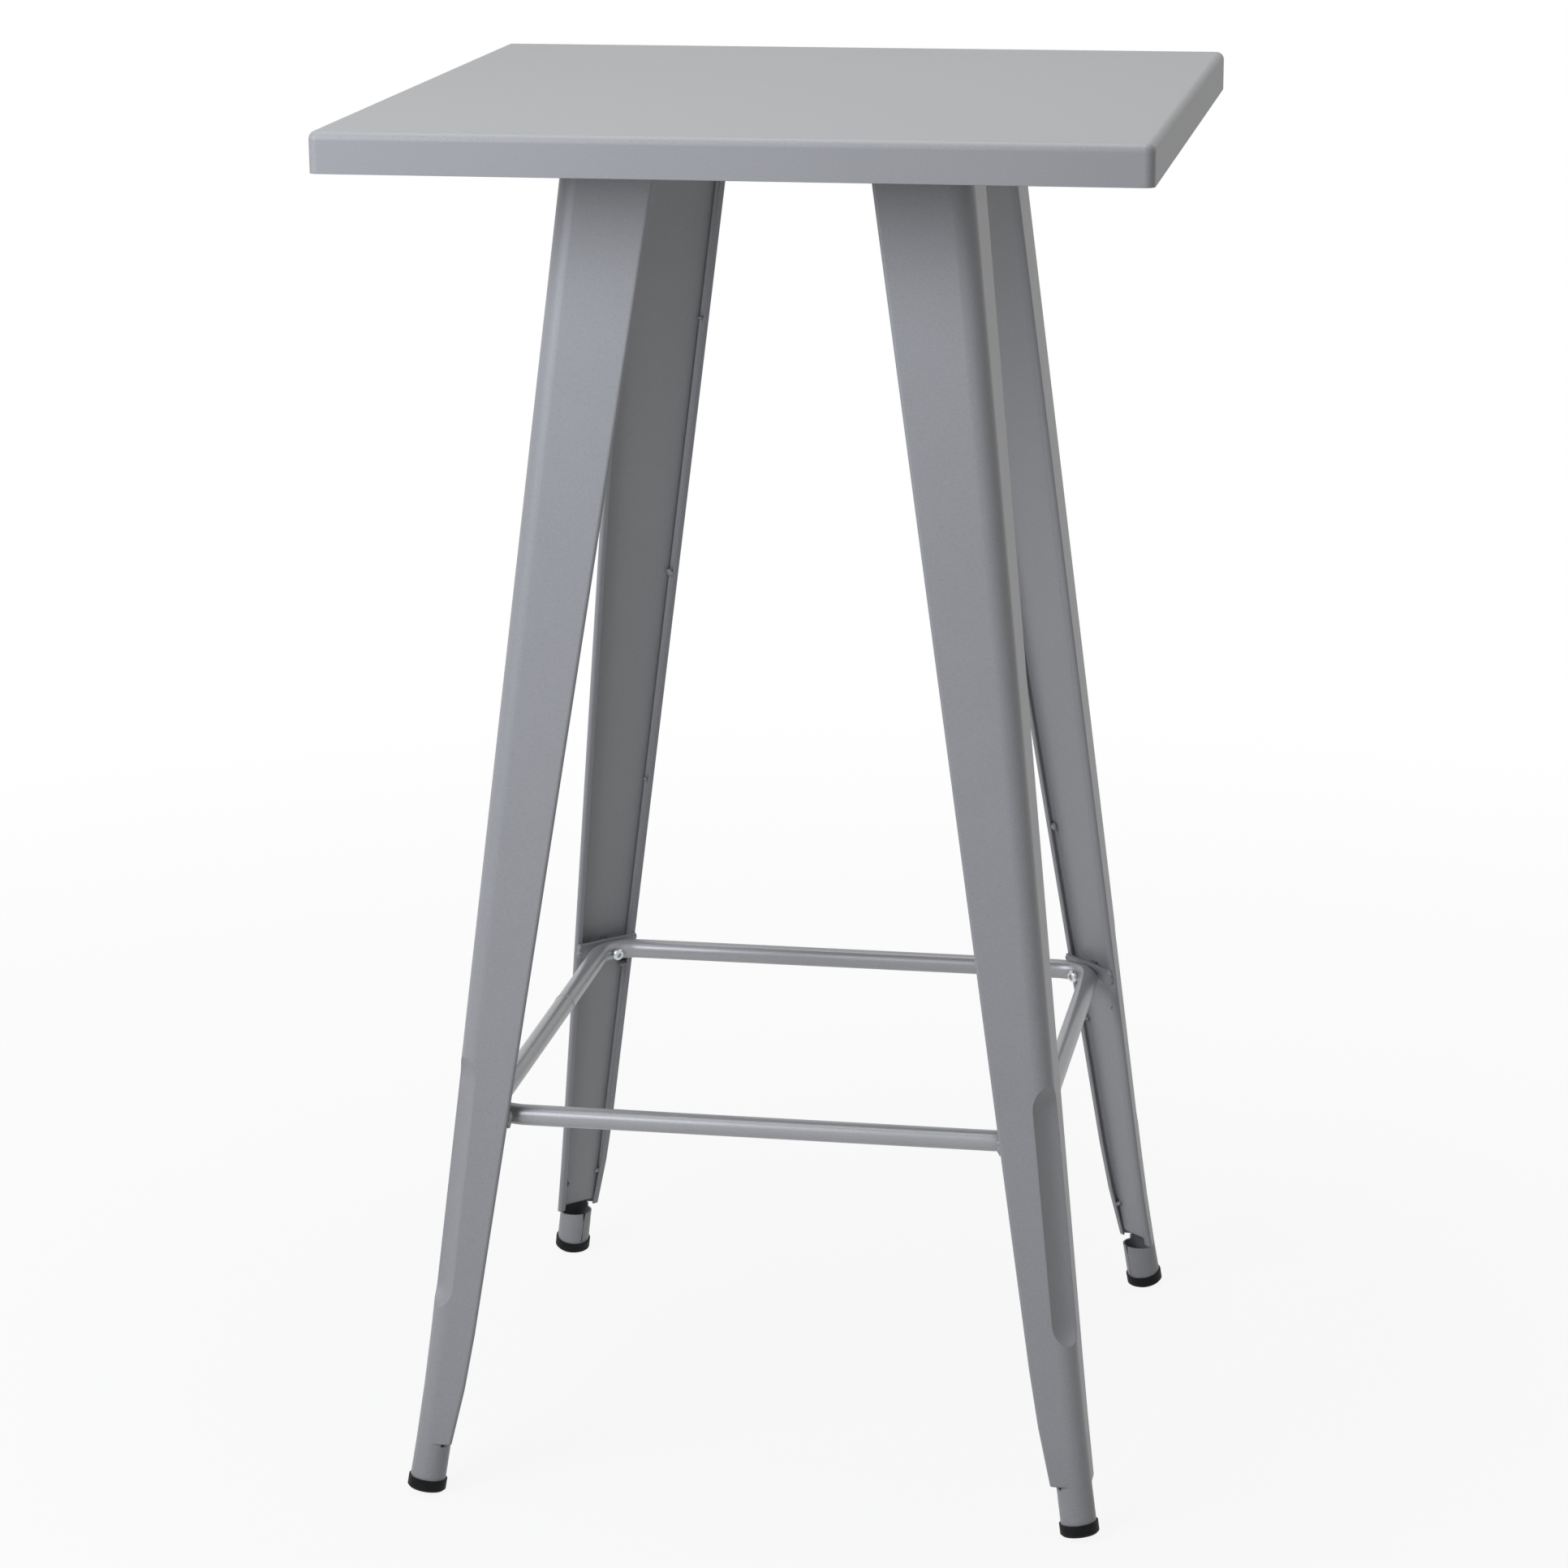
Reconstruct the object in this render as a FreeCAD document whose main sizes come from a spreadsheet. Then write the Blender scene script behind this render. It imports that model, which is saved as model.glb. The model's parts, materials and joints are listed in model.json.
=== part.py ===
import FreeCAD, Part
import math
import os
import Sketcher
from FreeCAD import Placement, Rotation, Vector

# Square pub table in folded sheet steel, in millimetres.
# Frame: origin on the floor under the middle of the top, +Z up, X and Y along the sides of the top.
# Each leg is drawn on the XZ plane, leaning inward from its foot, then turned to its own corner.

sizes = {
    # table top, a pan with a turned-down rim and a lip returned inward under the rim
    "overall_height": 1060,
    "top_side": 600,
    "rim_depth": 30,
    "top_sheet": 1.5,
    "top_corner_radius": 7,
    "top_edge_radius": 6,
    "rim_return": 15,
    "opening_corner_radius": 4,
    # leg shell, an L of folded sheet measured between outer faces
    "leg_sheet": 1.5,
    "leg_foot_level": 42,
    "leg_head_clearance": 0.3,
    "leg_spread_foot": 524,
    "leg_spread_head": 298,
    "flange_foot": 37,
    "flange_head": 79.2,
    "corner_radius_head": 16,
    "lip_bend_radius": 2.5,
    "lip_length": 9.5,
    # ankle, where the leg curves outward and narrows into its foot
    "ankle_level": 130,
    "ankle_flare": 2.3,
    "ankle_narrowing": 3,
    # flute pressed into the outer corner of each leg
    "flute_radius": 22,
    "flute_depth": 14.3,
    "flute_low_level": 169,
    "flute_high_level": 332,
    # rolled foot tube and its push-on cap
    "foot_kick": 8.85,
    "foot_tube_radius": 13.75,
    "relief_level": 38,
    "relief_setback": 2,
    "seam_gap": 0.8,
    "seam_slit": 6,
    "cap_radius": 15,
    "cap_height": 9.5,
    "cap_floor": 3,
    "cap_edge_radius": 1.6,
    "cap_clearance": 0.2,
    "cap_worn_depth": 1.2,
    # plate closing the open side of each leg
    "plate_recess": 6.5,
    "plate_sheet": 1.5,
    "plate_clearance": 0.25,
    "plate_foot_gap": 5,
    # footrest ring with the bracket, bolt and weld nut at each leg
    "ring_level": 298,
    "ring_tube_radius": 8,
    "ring_wall": 1.2,
    "ring_bend_radius": 30,
    "ring_seat_depth": 1.6,
    "ring_seat_width": 20,
    "ring_clearance": 0.1,
    "rest_bracket_sheet": 3,
    "rest_bracket_height": 12,
    "rest_bracket_overlap": 3.4,
    "rest_bolt_radius": 3,
    "rest_bolt_length": 23.5,
    "rest_head_radius": 5.25,
    "rest_head_height": 3.3,
    "rest_head_rim": 1,
    "rest_head_slope": 2,
    "rest_socket_flats": 4,
    "rest_socket_depth": 2,
    "rest_nut_flats": 10,
    "rest_nut_height": 5,
    # bracket, bolts, washers and weld nuts that hold each leg to the top
    "mount_sheet": 2.5,
    "mount_width": 70,
    "mount_web": 40,
    "mount_foot": 32,
    "mount_bend_radius": 2,
    "mount_bolt_radius": 4,
    "mount_bolt_length": 14,
    "mount_bolt_drop": 22,
    "mount_bolt_pitch": 40,
    "mount_head_radius": 7,
    "mount_head_height": 4.4,
    "mount_head_rim": 1.4,
    "mount_head_slope": 2.6,
    "mount_socket_flats": 5,
    "mount_socket_depth": 2.6,
    "mount_nut_flats": 13,
    "mount_nut_height": 6.5,
    "washer_radius": 8,
    "washer_sheet": 1.6,
    # stiffener channels welded under the top
    "stiffener_width": 24,
    "stiffener_depth": 20,
    "stiffener_sheet": 1.5,
    "stiffener_inset": 18,
    "stiffener_end_gap": 3.8,
    # shared clearances and the overrun of every cut
    "thread_clearance": 0.1,
    "hole_clearance": 0.5,
    "cut_overrun": 1,
}

# Lengths and slopes that follow from the sizes. Reaches are measured out along the leg's diagonal.
derived = {
    "under_top": "Size.overall_height - Size.top_sheet",
    "leg_head_level": "under_top - Size.leg_head_clearance",
    "leg_rise": "leg_head_level - Size.leg_foot_level",
    "corner_foot": "Size.leg_spread_foot / sqrt(2)",
    "corner_head": "Size.leg_spread_head / sqrt(2)",
    "corner_slope": "(corner_foot - corner_head) / leg_rise",
    "face_foot": "corner_foot - Size.flange_foot / sqrt(2)",
    "face_head": "corner_head - Size.flange_head / sqrt(2)",
    "face_slope": "(face_foot - face_head) / leg_rise",
    "lean": "atan(face_slope)",
    "bend_foot": "corner_foot - Size.foot_tube_radius * sqrt(2)",
    "bend_head": "corner_head - Size.corner_radius_head * sqrt(2)",
    "lip_edge_foot": "Size.flange_foot / sqrt(2) - Size.lip_length",
    "lip_edge_head": "Size.flange_head / sqrt(2) - Size.lip_length",
    "ankle_share": "(Size.ankle_level - Size.leg_foot_level) / leg_rise",
    "ankle_pull": "Size.ankle_narrowing / sqrt(2)",
    "ankle_radius": "Size.foot_tube_radius + (Size.corner_radius_head - Size.foot_tube_radius) * ankle_share",
    "shin_level": "(Size.ankle_level + Size.leg_foot_level) / 2",
    "shin_radius": "(Size.foot_tube_radius + ankle_radius) / 2",
    "face_ankle": "face_foot + (face_head - face_foot) * ankle_share",
    "face_shin": "(face_foot + face_ankle) / 2 + (Size.ankle_flare + ankle_pull) / 4",
    "face_sole": "face_foot + Size.ankle_flare + ankle_pull",
    "bend_ankle": "bend_foot + (bend_head - bend_foot) * ankle_share",
    "bend_shin": "(bend_foot + bend_ankle) / 2 + Size.ankle_flare / 4",
    "bend_sole": "bend_foot + Size.ankle_flare",
    "lip_edge_ankle": "lip_edge_foot + (lip_edge_head - lip_edge_foot) * ankle_share",
    "lip_edge_shin": "(lip_edge_foot + lip_edge_ankle) / 2 - ankle_pull / 4",
    "lip_edge_sole": "lip_edge_foot - ankle_pull",
    "plate_inset": "Size.leg_sheet * sqrt(2) + Size.plate_recess + Size.plate_sheet + Size.plate_clearance",
    "plate_half_foot": "Size.flange_foot / sqrt(2) - plate_inset",
    "plate_half_head": "Size.flange_head / sqrt(2) - plate_inset",
    "plate_low_share": "Size.plate_foot_gap / leg_rise",
    "plate_half_low": "plate_half_foot + (plate_half_head - plate_half_foot) * plate_low_share",
    "plate_run": "(under_top - Size.leg_foot_level - Size.plate_foot_gap) / cos(lean)",
    "plate_top_gap": "Size.leg_head_clearance + Size.plate_clearance",
    "foot_reach": "bend_sole + Size.foot_kick",
    "foot_lean": "atan(Size.foot_kick / Size.leg_foot_level)",
    "cap_lift": "(Size.cap_radius * sin(foot_lean) - Size.cap_worn_depth) / cos(foot_lean)",
    "ring_standoff": "Size.rest_bracket_sheet + Size.ring_clearance + Size.ring_tube_radius",
    "rest_level": "Size.ring_level + ring_standoff * sin(lean)",
    "rest_share": "(rest_level - Size.leg_foot_level) / leg_rise",
    "rest_face": "face_foot + (face_head - face_foot) * rest_share",
    "rest_half": "lip_edge_foot + (lip_edge_head - lip_edge_foot) * rest_share + Size.rest_bracket_overlap",
    "ring_reach": "rest_face - ring_standoff * cos(lean)",
    "ring_half": "(ring_reach - Size.ring_bend_radius) / sqrt(2) + Size.ring_bend_radius",
    "ring_bore": "Size.ring_tube_radius - Size.ring_wall",
    "ring_seat": "Size.ring_tube_radius - Size.ring_seat_depth",
    "stiffener_run": "Size.leg_spread_head - 2 * (Size.flange_head + Size.stiffener_end_gap)",
    "stiffener_reach": "Size.leg_spread_head / 2 - Size.stiffener_inset",
}

# Levels of a leg's cross-sections, with the radius of the outer corner at each.
# Above the ankle the leg is straight.
leg_levels = {
    "sole": ("Size.leg_foot_level", "Size.foot_tube_radius"),
    "shin": ("Place.shin_level", "Place.shin_radius"),
    "ankle": ("Size.ankle_level", "Place.ankle_radius"),
    "head": ("Place.leg_head_level", "Size.corner_radius_head"),
}

# Sides and corners in order, a quarter turn apart, with the first corner half a quarter past the first side.
sides = ["right", "back", "left", "front"]
corners = ["back_right", "back_left", "front_left", "front_right"]

doc = FreeCAD.newDocument("pub_table")


def fill_sheet(name, rows):
    sheet = doc.addObject("Spreadsheet::Sheet", name)
    for row, (alias, content) in enumerate(rows, start=1):
        sheet.set(f"A{row}", alias)
        sheet.set(f"B{row}", content)
        sheet.setAlias(f"B{row}", alias)
    doc.recompute()
    return sheet


size_sheet = fill_sheet("Size", [(alias, str(number)) for alias, number in sizes.items()])
place_sheet = fill_sheet("Place", [(alias, "=" + formula) for alias, formula in derived.items()])


def value(expression):
    result = place_sheet.evalExpression(expression)
    return getattr(result, "Value", result)


lean = math.radians(value("Place.lean"))
foot_lean = math.radians(value("Place.foot_lean"))
inward = Vector(-math.cos(lean), 0, -math.sin(lean))
along_face = Vector(-math.sin(lean), 0, math.cos(lean))
sideways = Vector(0, 1, 0)
foot_axis = Vector(-math.sin(foot_lean), 0, math.cos(foot_lean))


def frame_at(base, first_axis, second_axis):
    return Placement(base, Rotation(first_axis, second_axis, first_axis.cross(second_axis), "XYZ"))


def face_point(level):
    reach = value("Place.face_foot") - value("Place.face_slope") * (level - value("Size.leg_foot_level"))
    return Vector(reach, 0, level)


# A face frame has its Y up the leg's open face and its Z toward the middle of the table.
def face_frame(base):
    return frame_at(base, -sideways, along_face)


# An axis frame has its X toward the middle of the table, square to the open face.
def axis_frame(base):
    return frame_at(base, inward, sideways)


def turn(quarters):
    return Placement(Vector(), Rotation(Vector(0, 0, 1), 90 * quarters))


def corner_turn(corner):
    return turn(corners.index(corner) + 0.5)


under_top_point = face_point(value("Place.under_top"))
plate_front_point = under_top_point + Vector(value("Size.plate_recess"), 0, 0)
rest_point = face_point(value("Place.rest_level"))
cap_point = Vector(value("Place.foot_reach"), 0, 0) + foot_axis * value("Place.cap_lift")


def bind(sketch, constraint, expression):
    index = sketch.addConstraint(constraint)
    sketch.setExpression(f"Constraints[{index}]", expression)


def fix_point(sketch, geometry, point, across, along):
    for kind, axis, expression in (("DistanceX", -2, across), ("DistanceY", -1, along)):
        if expression == "0":
            sketch.addConstraint(Sketcher.Constraint("PointOnObject", geometry, point, axis))
        else:
            distance = Sketcher.Constraint(kind, -1, 1, geometry, point, value(expression))
            bind(sketch, distance, expression)


def draw_outline(sketch, points):
    first = sketch.GeometryCount
    count = len(points)
    ends = [Vector(value(across), value(along), 0) for across, along in points]
    for i in range(count):
        sketch.addGeometry(Part.LineSegment(ends[i], ends[(i + 1) % count]))
    for i in range(count):
        sketch.addConstraint(Sketcher.Constraint("Coincident", first + i, 2, first + (i + 1) % count, 1))
    for i, (across, along) in enumerate(points):
        fix_point(sketch, first + i, 1, across, along)


def draw_rectangle(sketch, left, right, low, high):
    draw_outline(sketch, [(left, low), (right, low), (right, high), (left, high)])


def draw_circle(sketch, across, along, radius):
    middle = Vector(value(across), value(along), 0)
    circle = sketch.addGeometry(Part.Circle(middle, Vector(0, 0, 1), value(radius)))
    fix_point(sketch, circle, 3, across, along)
    bind(sketch, Sketcher.Constraint("Radius", circle, value(radius)), radius)


def draw_hexagon(sketch, across, along, flats):
    point = f"{flats} / sqrt(3)"
    spots = [(point, "0"), (f"{point} / 2", f"{flats} / 2"), (f"-{point} / 2", f"{flats} / 2"),
             (f"-{point}", "0"), (f"-{point} / 2", f"-{flats} / 2"), (f"{point} / 2", f"-{flats} / 2")]
    draw_outline(sketch, [(add(across, x), add(along, y)) for x, y in spots])


def add(first, second):
    if first == "0":
        return second
    if second == "0":
        return first
    return f"{first} + {second}" if not second.startswith("-") else f"{first} - {second[1:]}"


def arc(across, along, radius, start, end):
    circle = Part.Circle(Vector(across, along, 0), Vector(0, 0, 1), radius)
    return Part.ArcOfCircle(circle, math.radians(start), math.radians(end))


def draw_rounded_square(sketch, half, radius):
    reach = value(half)
    flat = reach - value(radius)
    centres = [(flat, -flat), (flat, flat), (-flat, flat), (-flat, -flat)]
    starts = [(-flat, -reach), (reach, -flat), (flat, reach), (-reach, flat)]
    ends = [(flat, -reach), (reach, flat), (-flat, reach), (-reach, -flat)]
    for i in range(4):
        sketch.addGeometry(Part.LineSegment(Vector(*starts[i], 0), Vector(*ends[i], 0)))
        sketch.addGeometry(arc(*centres[i], value(radius), 90 * i - 90, 90 * i))
    for i in range(8):
        sketch.addConstraint(Sketcher.Constraint("Tangent", i, 2, (i + 1) % 8, 1))
    for line, level in ((0, "Horizontal"), (2, "Vertical"), (4, "Horizontal"), (6, "Vertical")):
        sketch.addConstraint(Sketcher.Constraint(level, line))
    for bend in (3, 5, 7):
        sketch.addConstraint(Sketcher.Constraint("Equal", 1, bend))
    bind(sketch, Sketcher.Constraint("Radius", 1, value(radius)), radius)
    square_sides = ((0, "DistanceY", "-"), (2, "DistanceX", ""), (4, "DistanceY", ""), (6, "DistanceX", "-"))
    for line, kind, sign in square_sides:
        side = f"{sign}({half})"
        bind(sketch, Sketcher.Constraint(kind, -1, 1, line, 1, value(side)), side)


# Cross-section of a leg: two flanges square to each other, a rounded outer corner on the X axis,
# rounded lip bends and the open face as a line across the diagonal.
def draw_leg_section(sketch, face, bend, corner_radius, lip_radius):
    face_reach = value(face)
    bend_reach = value(bend)
    corner = value(corner_radius)
    lip = value(lip_radius)
    corner_reach = bend_reach + corner * math.sqrt(2)
    lip_side = corner_reach - face_reach - lip - lip * math.sqrt(2)
    slant = math.sqrt(0.5)
    lip_reach = face_reach + lip
    flange_start = (lip_reach + lip * slant, lip_side + lip * slant)
    flange_end = (bend_reach + corner * slant, corner * slant)
    upper = [Vector(*flange_start, 0), Vector(*flange_end, 0)]
    lower = [Vector(flange_end[0], -flange_end[1], 0), Vector(flange_start[0], -flange_start[1], 0)]
    sketch.addGeometry(Part.LineSegment(Vector(face_reach, -lip_side, 0), Vector(face_reach, lip_side, 0)))
    sketch.addGeometry(arc(lip_reach, lip_side, lip, 45, 180))
    sketch.addGeometry(Part.LineSegment(*upper))
    sketch.addGeometry(arc(bend_reach, 0, corner, -45, 45))
    sketch.addGeometry(Part.LineSegment(*lower))
    sketch.addGeometry(arc(lip_reach, -lip_side, lip, 180, 315))
    meetings = ((0, 2, 1, 2), (1, 1, 2, 1), (2, 2, 3, 2), (3, 1, 4, 1), (4, 2, 5, 2), (5, 1, 0, 1))
    for first, end, second, start in meetings:
        sketch.addConstraint(Sketcher.Constraint("Tangent", first, end, second, start))
    sketch.addConstraint(Sketcher.Constraint("PointOnObject", 3, 3, -1))
    sketch.addConstraint(Sketcher.Constraint("Perpendicular", 2, 4))
    sketch.addConstraint(Sketcher.Constraint("Equal", 1, 5))
    sketch.addConstraint(Sketcher.Constraint("Symmetric", 0, 1, 0, 2, -1))
    bind(sketch, Sketcher.Constraint("Radius", 1, lip), lip_radius)
    bind(sketch, Sketcher.Constraint("Radius", 3, corner), corner_radius)
    bind(sketch, Sketcher.Constraint("DistanceX", -1, 1, 3, 3, bend_reach), bend)
    bind(sketch, Sketcher.Constraint("DistanceX", -1, 1, 0, 1, face_reach), face)


def new_body(name):
    body = doc.addObject("PartDesign::Body", name)
    body.AllowCompound = True
    return body


def body_sketch(body, name, plane="XY_Plane", offset=Placement(), lift=None):
    sketch = body.newObject("Sketcher::SketchObject", f"{body.Name}_{name}")
    support = next(feature for feature in body.Origin.OriginFeatures if feature.Role == plane)
    sketch.AttachmentSupport = (support, [""])
    sketch.MapMode = "FlatFace"
    sketch.AttachmentOffset = offset
    if lift:
        sketch.setExpression("AttachmentOffset.Base.z", lift)
    return sketch


def extrude(body, kind, sketch, length, backward=False, side="One side"):
    feature = body.newObject(f"PartDesign::{kind}", f"{sketch.Name}_{kind.lower()}")
    feature.Profile = sketch
    feature.setExpression("Length", length)
    feature.Reversed = backward
    feature.SideType = side
    return feature


def round_edges(body, name, radius, chosen):
    doc.recompute()
    base = body.Tip
    edges = [f"Edge{i}" for i, edge in enumerate(base.Shape.Edges, start=1) if chosen(edge.CenterOfMass)]
    fillet = body.newObject("PartDesign::Fillet", f"{body.Name}_{name}")
    fillet.Base = (base, edges)
    fillet.setExpression("Radius", radius)
    return fillet


def around_legs(body, originals):
    pattern = body.newObject("PartDesign::PolarPattern", f"{body.Name}_around")
    axis = next(feature for feature in body.Origin.OriginFeatures if feature.Role == "Z_Axis")
    pattern.Originals = originals
    pattern.Axis = (axis, [""])
    pattern.Angle = 360
    pattern.Occurrences = len(corners)
    body.Tip = pattern
    body.Placement = corner_turn(corners[0])


def plain_sketch(name, placement=Placement()):
    sketch = doc.addObject("Sketcher::SketchObject", name)
    sketch.Placement = placement
    return sketch


def solid_loft(name, sections):
    loft = doc.addObject("Part::Loft", name)
    loft.Sections = sections
    loft.Solid = True
    loft.Ruled = True
    return loft


def cut(name, base, tool):
    result = doc.addObject("Part::Cut", name)
    result.Base = base
    result.Tool = tool
    return result


def join(name, shapes):
    result = doc.addObject("Part::MultiFuse", name)
    result.Shapes = shapes
    return result


def rod(name, radius, height, placement):
    cylinder = doc.addObject("Part::Cylinder", name)
    cylinder.setExpression("Radius", radius)
    cylinder.setExpression("Height", height)
    cylinder.Placement = placement
    return cylinder


def ball(name, radius, centre):
    sphere = doc.addObject("Part::Sphere", name)
    sphere.setExpression("Radius", radius)
    sphere.Placement = Placement(centre, Rotation())
    return sphere


def block(name, length, width, height, placement):
    box = doc.addObject("Part::Box", name)
    box.setExpression("Length", length)
    box.setExpression("Width", width)
    box.setExpression("Height", height)
    box.Placement = placement
    return box


nodes = {}


def make_table_top():
    body = new_body("table_top")
    outer = body_sketch(body, "rim", lift="Size.overall_height - Size.rim_depth")
    draw_rounded_square(outer, "Size.top_side / 2", "Size.top_corner_radius")
    extrude(body, "Pad", outer, "Size.rim_depth")
    top_level = value("Size.overall_height")
    near = value("Size.top_sheet") / 4
    hollow = body_sketch(body, "hollow", lift="Size.overall_height - Size.rim_depth + Size.top_sheet")
    draw_rounded_square(hollow, "Size.top_side / 2 - Size.top_sheet",
                        "Size.top_corner_radius - Size.top_sheet")
    extrude(body, "Pocket", hollow, "Size.rim_depth - 2 * Size.top_sheet", backward=True)
    under = value("Place.under_top")
    round_edges(body, "under_edge", "Size.top_edge_radius - Size.top_sheet",
                lambda middle: abs(middle.z - under) < near)
    round_edges(body, "top_edge", "Size.top_edge_radius", lambda middle: abs(middle.z - top_level) < near)
    opening = body_sketch(body, "opening", lift="Size.overall_height - Size.rim_depth")
    draw_rounded_square(opening, "Size.top_side / 2 - Size.rim_return", "Size.opening_corner_radius")
    extrude(body, "Pocket", opening, "Size.top_sheet + Size.cut_overrun", backward=True)
    nodes["table_top"] = body


def make_stiffener(side):
    name = f"top_stiffener_{side}"
    body = new_body(name)
    profile = body_sketch(body, "profile", plane="XZ_Plane")
    outer = "Size.stiffener_width / 2"
    inner = "(Size.stiffener_width / 2 - Size.stiffener_sheet)"
    low = "Place.under_top - Size.stiffener_depth"
    floor = "Place.under_top - Size.stiffener_depth + Size.stiffener_sheet"
    high = "Place.under_top"
    draw_outline(profile, [(f"-{outer}", low), (outer, low), (outer, high), (inner, high),
                           (inner, floor), (f"-{inner}", floor), (f"-{inner}", high), (f"-{outer}", high)])
    extrude(body, "Pad", profile, "Place.stiffener_run", side="Symmetric")
    shift = Placement(Vector(value("Place.stiffener_reach"), 0, 0), Rotation())
    body.Placement = turn(sides.index(side)).multiply(shift)
    nodes[name] = body


# Foot tube: rolled round below the flanges, with a relief opening and a short slit at each end of its seam.
def make_foot_tube(corner):
    tubes = []
    walls = (("tube", "Size.foot_tube_radius"), ("bore", "Size.foot_tube_radius - Size.leg_sheet"))
    for part, radius in walls:
        tilted = Placement(cap_point + foot_axis * value("Size.cap_floor"),
                           Rotation(sideways, -math.degrees(foot_lean)))
        low = plain_sketch(f"{corner}_{part}_low", tilted)
        draw_circle(low, "0", "0", radius)
        high = plain_sketch(f"{corner}_{part}_high")
        high.setExpression("Placement.Base.z", "Size.leg_foot_level")
        draw_circle(high, "Place.bend_sole", "0", radius)
        tubes.append(solid_loft(f"{corner}_{part}", [low, high]))
    hollow = cut(f"{corner}_hollow_tube", *tubes)
    radius = value("Size.foot_tube_radius")
    overrun = value("Size.cut_overrun")
    bend_reach = value("Place.bend_sole")
    relief_start = Vector(bend_reach + value("Size.relief_setback") - 2 * radius, -radius - overrun,
                          value("Size.relief_level"))
    relief = block(f"{corner}_relief", "2 * Size.foot_tube_radius",
                   "2 * (Size.foot_tube_radius + Size.cut_overrun)",
                   "Size.leg_foot_level - Size.relief_level + Size.cut_overrun",
                   Placement(relief_start, Rotation()))
    slits = []
    slit_levels = (("high", value("Size.relief_level") - value("Size.seam_slit")),
                   ("low", value("Size.cap_height")))
    for end, level in slit_levels:
        start = Vector(bend_reach - 2 * radius, -value("Size.seam_gap") / 2, level)
        slits.append(block(f"{corner}_slit_{end}", "2 * Size.foot_tube_radius", "Size.seam_gap",
                           "Size.seam_slit + Size.cut_overrun", Placement(start, Rotation())))
    return cut(f"{corner}_foot_tube", hollow, join(f"{corner}_foot_cuts", [relief] + slits))


def make_flute_tool(corner, part, radius):
    corner_lean = math.atan(value("Place.corner_slope"))
    ends = []
    for level in (value("Size.flute_low_level"), value("Size.flute_high_level")):
        rise = level - value("Size.leg_foot_level")
        reach = value("Place.corner_foot") - value("Place.corner_slope") * rise
        ends.append(Vector(reach + value("Size.flute_radius") - value("Size.flute_depth"), 0, level))
    tilt = Placement(ends[0], Rotation(sideways, -math.degrees(corner_lean)))
    run = "(Size.flute_high_level - Size.flute_low_level) / cos(atan(Place.corner_slope))"
    shapes = [rod(f"{corner}_{part}_run", radius, run, tilt)]
    for end, centre in zip(("low", "high"), ends):
        shapes.append(ball(f"{corner}_{part}_{end}", radius, centre))
    return join(f"{corner}_{part}", shapes)


def draw_leg_wall(section, end, inset):
    corner_radius = leg_levels[end][1]
    draw_leg_section(section, add(f"Place.face_{end}", inset), f"Place.bend_{end}",
                     f"{corner_radius} - {inset}", f"Size.lip_bend_radius - {inset}")


def draw_leg_window(section, end, overrun):
    draw_rectangle(section, f"Place.face_{end} - {overrun}", f"Place.face_{end} + Size.leg_sheet + {overrun}",
                   f"-Place.lip_edge_{end}", f"Place.lip_edge_{end}")


def leg_block(name, draw, margin):
    sections = []
    for end, (level, corner_radius) in leg_levels.items():
        section = plain_sketch(f"{name}_{end}")
        section.setExpression("Placement.Base.z", level)
        draw(section, end, margin)
        sections.append(section)
    return solid_loft(name, sections)


def make_leg_shell(corner):
    outside = cut(f"{corner}_fluted_outside", leg_block(f"{corner}_outside", draw_leg_wall, "0"),
                  make_flute_tool(corner, "flute", "Size.flute_radius"))
    inside = cut(f"{corner}_fluted_inside", leg_block(f"{corner}_inside", draw_leg_wall, "Size.leg_sheet"),
                 make_flute_tool(corner, "flute_back", "Size.flute_radius + Size.leg_sheet"))
    closed = cut(f"{corner}_closed_shell", outside, inside)
    window = leg_block(f"{corner}_window", draw_leg_window, "Size.cut_overrun")
    open_shell = cut(f"{corner}_open_shell", closed, window)
    shell = doc.addObject("Part::Fuse", f"leg_shell_{corner}")
    shell.Base = open_shell
    shell.Tool = make_foot_tube(corner)
    shell.Refine = True
    shell.Placement = corner_turn(corner)
    nodes[f"leg_shell_{corner}"] = shell


def make_inner_plate(corner):
    body = new_body(f"leg_inner_plate_{corner}")
    outline = body_sketch(body, "outline")
    draw_outline(outline, [("-Place.plate_half_low", "-Place.plate_run"),
                           ("Place.plate_half_low", "-Place.plate_run"),
                           ("Place.plate_half_head", "-Place.plate_top_gap"),
                           ("-Place.plate_half_head", "-Place.plate_top_gap")])
    for side in ("-", ""):
        draw_circle(outline, f"{side}Size.mount_bolt_pitch / 2", "-Size.mount_bolt_drop",
                    "Size.mount_bolt_radius + Size.hole_clearance")
    extrude(body, "Pad", outline, "Size.plate_sheet", backward=True)
    body.Placement = corner_turn(corner).multiply(face_frame(plate_front_point))
    nodes[body.Name] = body


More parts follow.
